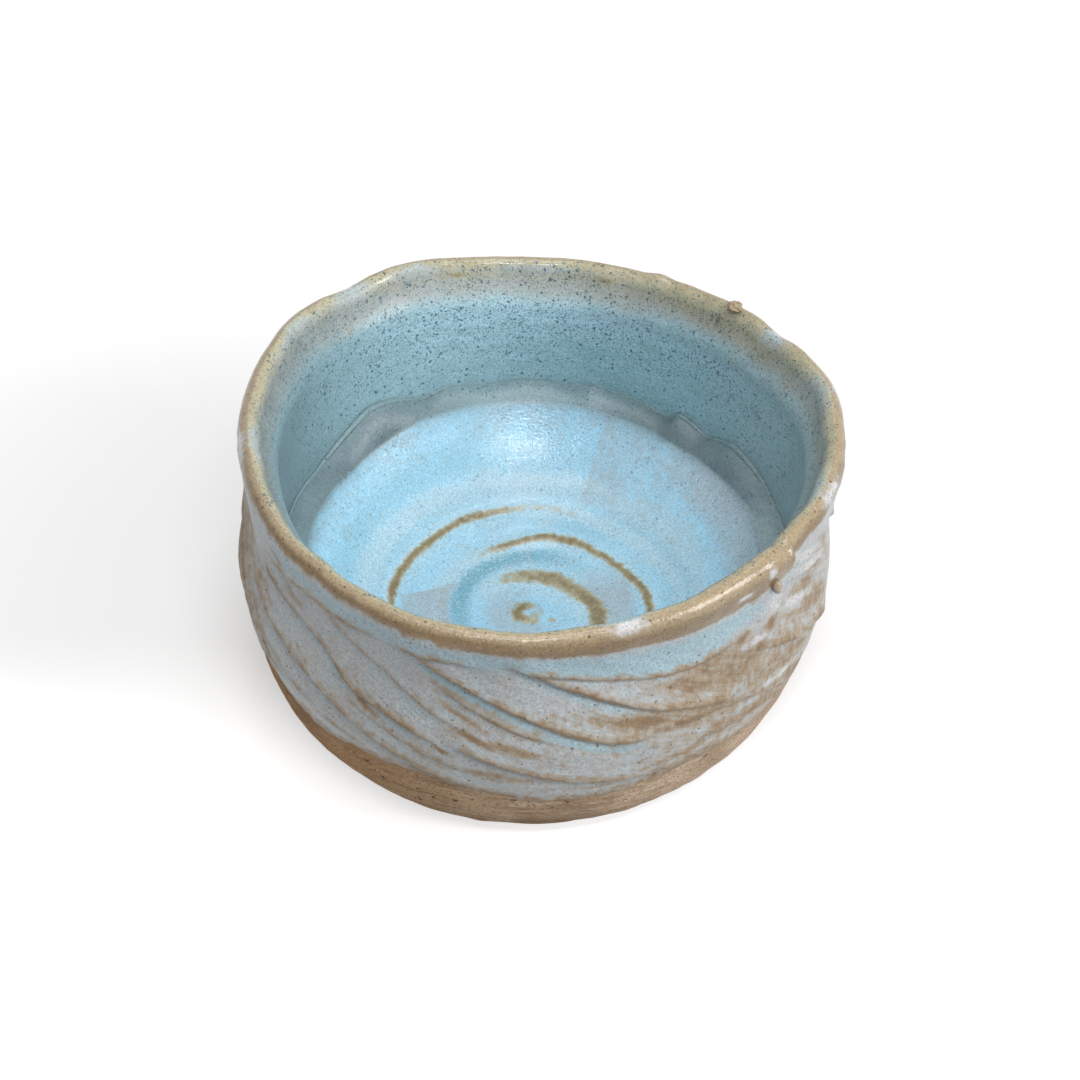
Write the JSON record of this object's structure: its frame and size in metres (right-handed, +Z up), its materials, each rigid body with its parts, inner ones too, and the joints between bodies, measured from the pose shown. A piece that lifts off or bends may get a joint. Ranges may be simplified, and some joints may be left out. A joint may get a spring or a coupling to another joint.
{
  "type": "tea bowl",
  "caption": "Hand-built stoneware tea bowl with a carved wall strip lapped at a seam, a dished base with a finger spiral, a foot ring, and a poured and a dipped glaze.",
  "frame": {"origin": "on the table, under the middle of the bowl's bounding box", "axes": "+Z up through the open mouth, -Y towards the viewer of the picture, +X to that viewer's right"},
  "size_m": [0.1226, 0.1222, 0.07],
  "materials": {
    "bare_clay": "unglazed buff stoneware, fired tan, fine-grained and matt",
    "poured_glaze": "glossy pale blue to teal glaze with fine dark specks, breaking brown on edges",
    "dipped_glaze": "satin pale grey glaze, blue where it pools and tan where it thins over ridges"
  },
  "bodies": {
    "root": {"foot_ring": "bare_clay", "base_slab": "bare_clay", "wall_strip": "bare_clay", "corner_coil": "bare_clay", "inner_glaze": "poured_glaze", "outer_glaze": "dipped_glaze", "rim_crumb": "bare_clay", "seam_bead": "dipped_glaze"}
  },
  "joints": []
}
